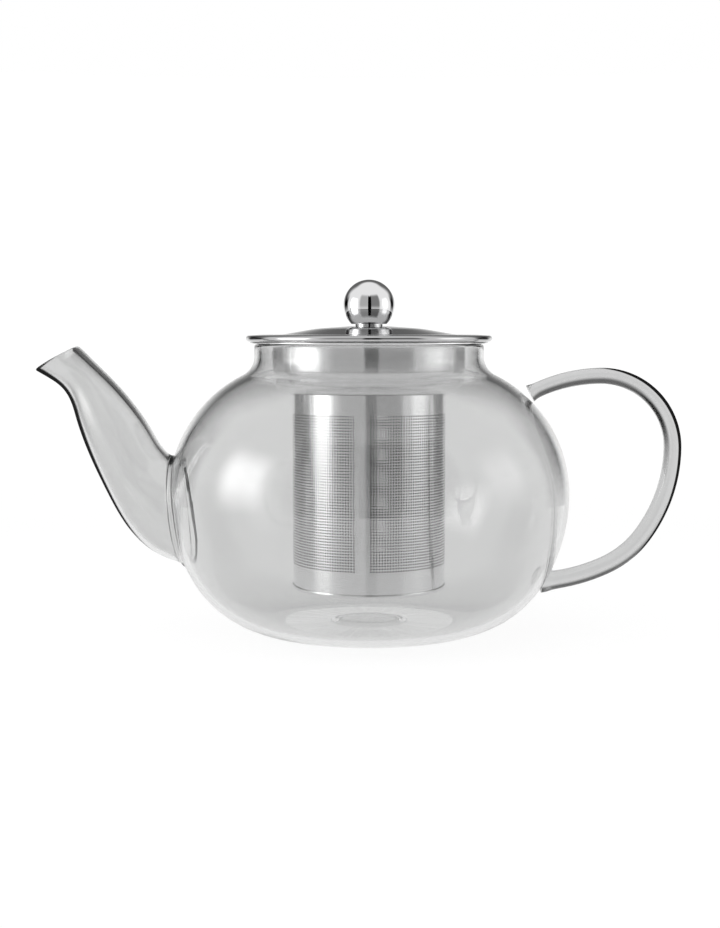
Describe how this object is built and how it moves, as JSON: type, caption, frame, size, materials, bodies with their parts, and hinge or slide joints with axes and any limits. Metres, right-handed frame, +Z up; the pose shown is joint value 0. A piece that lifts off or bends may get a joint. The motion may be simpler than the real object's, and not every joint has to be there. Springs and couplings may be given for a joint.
{
  "type": "glass teapot with infuser",
  "caption": "Round glass teapot with a curved spout, a glass rod handle, a lift-out perforated steel infuser and a steel lid with a ball knob.",
  "frame": {"origin": "centre of the flat foot, on the bowl's axis, at the height the pot stands on", "axes": "+Z up along the bowl's axis, +X towards the handle, -X towards the spout"},
  "size_m": [0.2513, 0.156, 0.1372],
  "materials": {
    "clear_glass": "clear, blown and flame polished",
    "polished_steel": "polished with faint spinning marks",
    "infuser_steel": "bright rolled sheet, finely perforated",
    "mirror_steel": "mirror polished",
    "fastener_steel": "plain turned"
  },
  "bodies": {
    "pot": {"glass_body": "clear_glass", "spout": "clear_glass", "handle": "clear_glass"},
    "infuser": {"infuser_cup": "polished_steel", "infuser_tube": "infuser_steel", "infuser_base": "infuser_steel"},
    "lid": {"lid_cover": "polished_steel", "lid_locating_ring": "polished_steel", "knob_ball": "mirror_steel", "knob_neck": "mirror_steel", "knob_insert": "fastener_steel", "knob_screw": "fastener_steel", "knob_washer": "fastener_steel"}
  },
  "joints": [
    {"name": "infuser_lift", "type": "slide", "parent": "pot", "child": "infuser", "axis": [0, 0, 1], "range_m": [0, 0.11]},
    {"name": "lid_lift", "type": "slide", "parent": "infuser", "child": "lid", "axis": [0, 0, 1], "range_m": [0, 0.05]}
  ]
}
